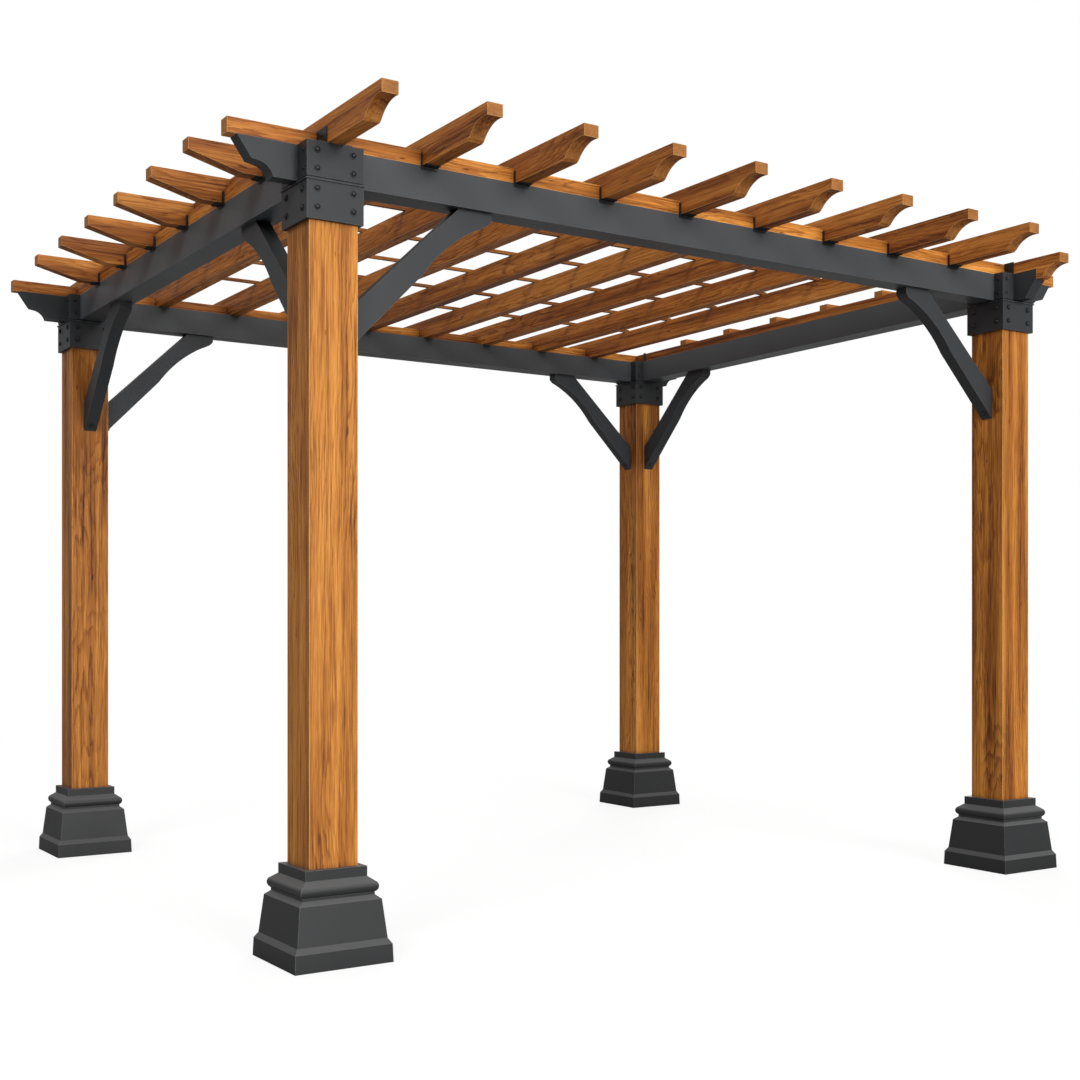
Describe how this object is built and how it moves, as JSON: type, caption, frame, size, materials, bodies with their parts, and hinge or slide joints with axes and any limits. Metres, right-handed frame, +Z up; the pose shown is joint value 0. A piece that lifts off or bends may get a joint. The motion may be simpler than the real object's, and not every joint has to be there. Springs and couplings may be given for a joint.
{
  "type": "open garden pergola",
  "caption": "Free-standing open pergola: square cedar posts on moulded plinths, dark steel beam frame with curved knee braces, and a roof of shaped cedar rafters.",
  "frame": {"origin": "on the ground, midway between the four posts", "axes": "+X along the long front and back beams, from the left post to the right post; +Y from the front to the back; +Z up"},
  "size_m": [3.49, 3.19, 2.397],
  "materials": {
    "cedar": "stained cedar with long fine dark grain, satin",
    "charcoal_steel": "charcoal grey powder coat, satin",
    "charcoal_plinth": "charcoal grey powder coat on moulded plinths, satin"
  },
  "bodies": {
    "root": {"back_beam": "charcoal_steel", "back_beam_ends": "charcoal_steel", "back_beam_left_knee": "charcoal_steel", "back_beam_right_knee": "charcoal_steel", "back_left_plinth": "charcoal_plinth", "back_left_post": "cedar", "back_left_post_bracket": "charcoal_steel", "back_low_boards": "cedar", "back_right_plinth": "charcoal_plinth", "back_right_post": "cedar", "back_right_post_bracket": "charcoal_steel", "front_beam": "charcoal_steel", "front_beam_ends": "charcoal_steel", "front_beam_left_knee": "charcoal_steel", "front_beam_right_knee": "charcoal_steel", "front_left_plinth": "charcoal_plinth", "front_left_post": "cedar", "front_left_post_bracket": "charcoal_steel", "front_low_boards": "cedar", "front_right_plinth": "charcoal_plinth", "front_right_post": "cedar", "front_right_post_bracket": "charcoal_steel", "left_beam": "charcoal_steel", "left_beam_back_knee": "charcoal_steel", "left_beam_front_knee": "charcoal_steel", "left_low_boards": "cedar", "left_side_tails": "cedar", "rafter_1": "cedar", "rafter_10": "cedar", "rafter_2": "cedar", "rafter_3": "cedar", "rafter_4": "cedar", "rafter_5": "cedar", "rafter_6": "cedar", "rafter_7": "cedar", "rafter_8": "cedar", "rafter_9": "cedar", "right_beam": "charcoal_steel", "right_beam_back_knee": "charcoal_steel", "right_beam_cut_ends": "charcoal_steel", "right_low_boards": "cedar", "right_side_tails": "cedar", "roof_battens": "cedar"}
  },
  "joints": []
}
